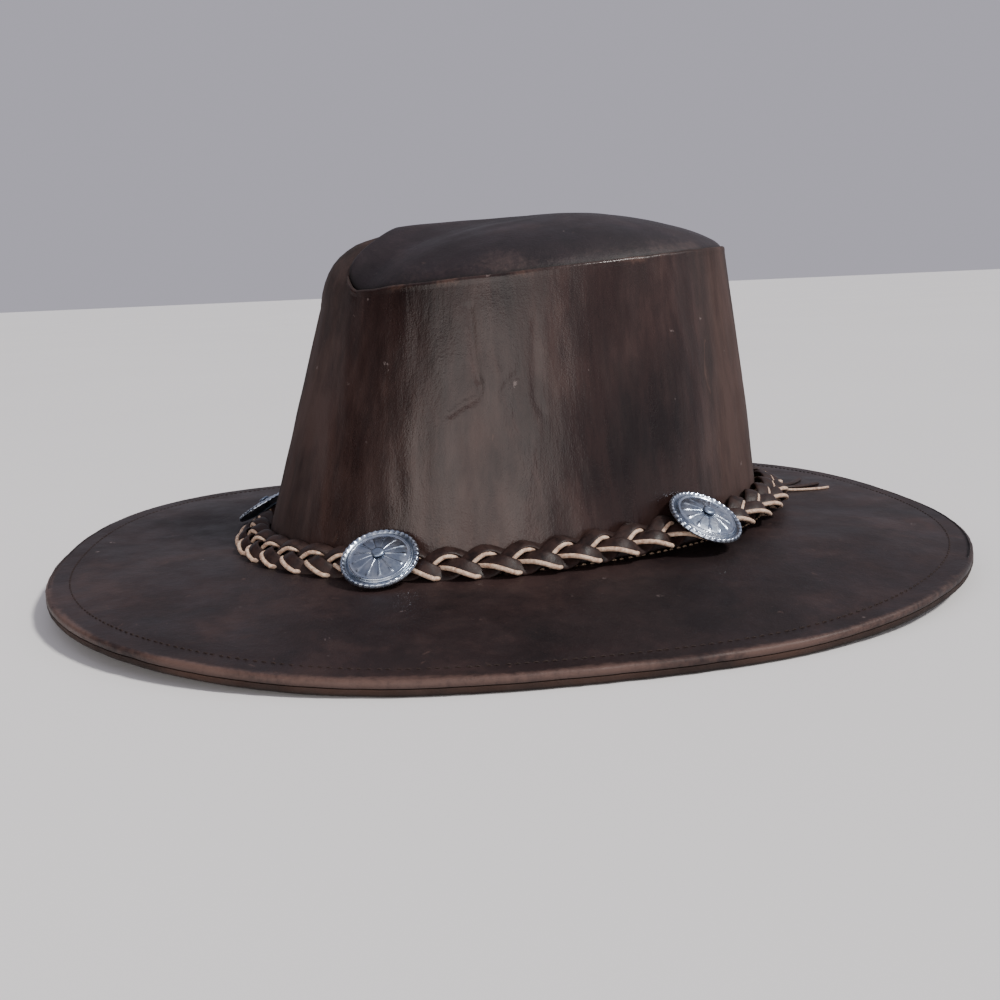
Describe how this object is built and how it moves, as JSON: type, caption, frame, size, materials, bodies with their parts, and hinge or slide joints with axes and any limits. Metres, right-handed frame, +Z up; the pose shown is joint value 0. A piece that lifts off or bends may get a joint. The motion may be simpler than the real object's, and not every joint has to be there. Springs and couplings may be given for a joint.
{
  "type": "leather hat",
  "caption": "Wide-brimmed leather hat with a tapered crown, domed tip and lift-off braided band carrying turning metal conchos.",
  "frame": {"origin": "on the resting surface, under the middle of the brim", "axes": "+Z up, -Y towards the front of the hat, +X towards the wearer's left"},
  "size_m": [0.3508, 0.368, 0.1404],
  "materials": {
    "top_leather": "dark brown oiled leather, mottled, soft sheen",
    "under_leather": "brown raw-edged leather, worn",
    "lining_leather": "smooth tan lining leather",
    "thread": "waxed thread, dull",
    "strand_leather": "reddish dark brown lace leather",
    "rawhide_lace": "cream round lace, slightly soiled",
    "silver": "polished nickel silver"
  },
  "bodies": {
    "hat": {"brim_top_layer": "top_leather", "brim_under_layer": "under_leather", "crown_side": "top_leather", "crown_tip": "top_leather", "sweatband": "lining_leather", "back_seam_tape": "lining_leather", "brim_edge_thread": "thread", "crown_foot_thread": "thread"},
    "hatband": {"braid_strand_1": "strand_leather", "braid_strand_2": "strand_leather", "braid_strand_3": "strand_leather", "braid_lace_1": "rawhide_lace", "braid_lace_2": "rawhide_lace", "braid_lace_3": "rawhide_lace", "band_tie": "strand_leather", "lace_tail": "rawhide_lace", "strand_tail_1": "strand_leather", "strand_tail_2": "strand_leather", "concho_clip_1": "silver", "concho_clip_2": "silver", "concho_clip_3": "silver", "concho_clip_4": "silver", "concho_clip_5": "silver"},
    "concho_1": {"concho_1": "silver"},
    "concho_2": {"concho_2": "silver"},
    "concho_3": {"concho_3": "silver"},
    "concho_4": {"concho_4": "silver"},
    "concho_5": {"concho_5": "silver"}
  },
  "joints": [
    {"name": "hatband_lift", "type": "slide", "parent": "hat", "child": "hatband", "axis": [0, 0, 1], "range_m": [0, 0.135]},
    {"name": "concho_1_spin", "type": "hinge", "parent": "hatband", "child": "concho_1", "pos_m": [0.08571, 0.06232, 0.0249], "axis": [0.4344, 0.284, 0.8548], "continuous": true},
    {"name": "concho_2_spin", "type": "hinge", "parent": "hatband", "child": "concho_2", "pos_m": [0.08325, -0.05729, 0.01842], "axis": [0.4877, -0.1767, 0.855], "continuous": true},
    {"name": "concho_3_spin", "type": "hinge", "parent": "hatband", "child": "concho_3", "pos_m": [-0.03851, -0.10287, 0.01728], "axis": [-0.2599, -0.4455, 0.8568], "continuous": true},
    {"name": "concho_4_spin", "type": "hinge", "parent": "hatband", "child": "concho_4", "pos_m": [-0.09821, 0.0068, 0.02136], "axis": [-0.5122, 0.0921, 0.8539], "continuous": true},
    {"name": "concho_5_spin", "type": "hinge", "parent": "hatband", "child": "concho_5", "pos_m": [-0.03945, 0.11239, 0.0263], "axis": [-0.2106, 0.4708, 0.8567], "continuous": true}
  ]
}
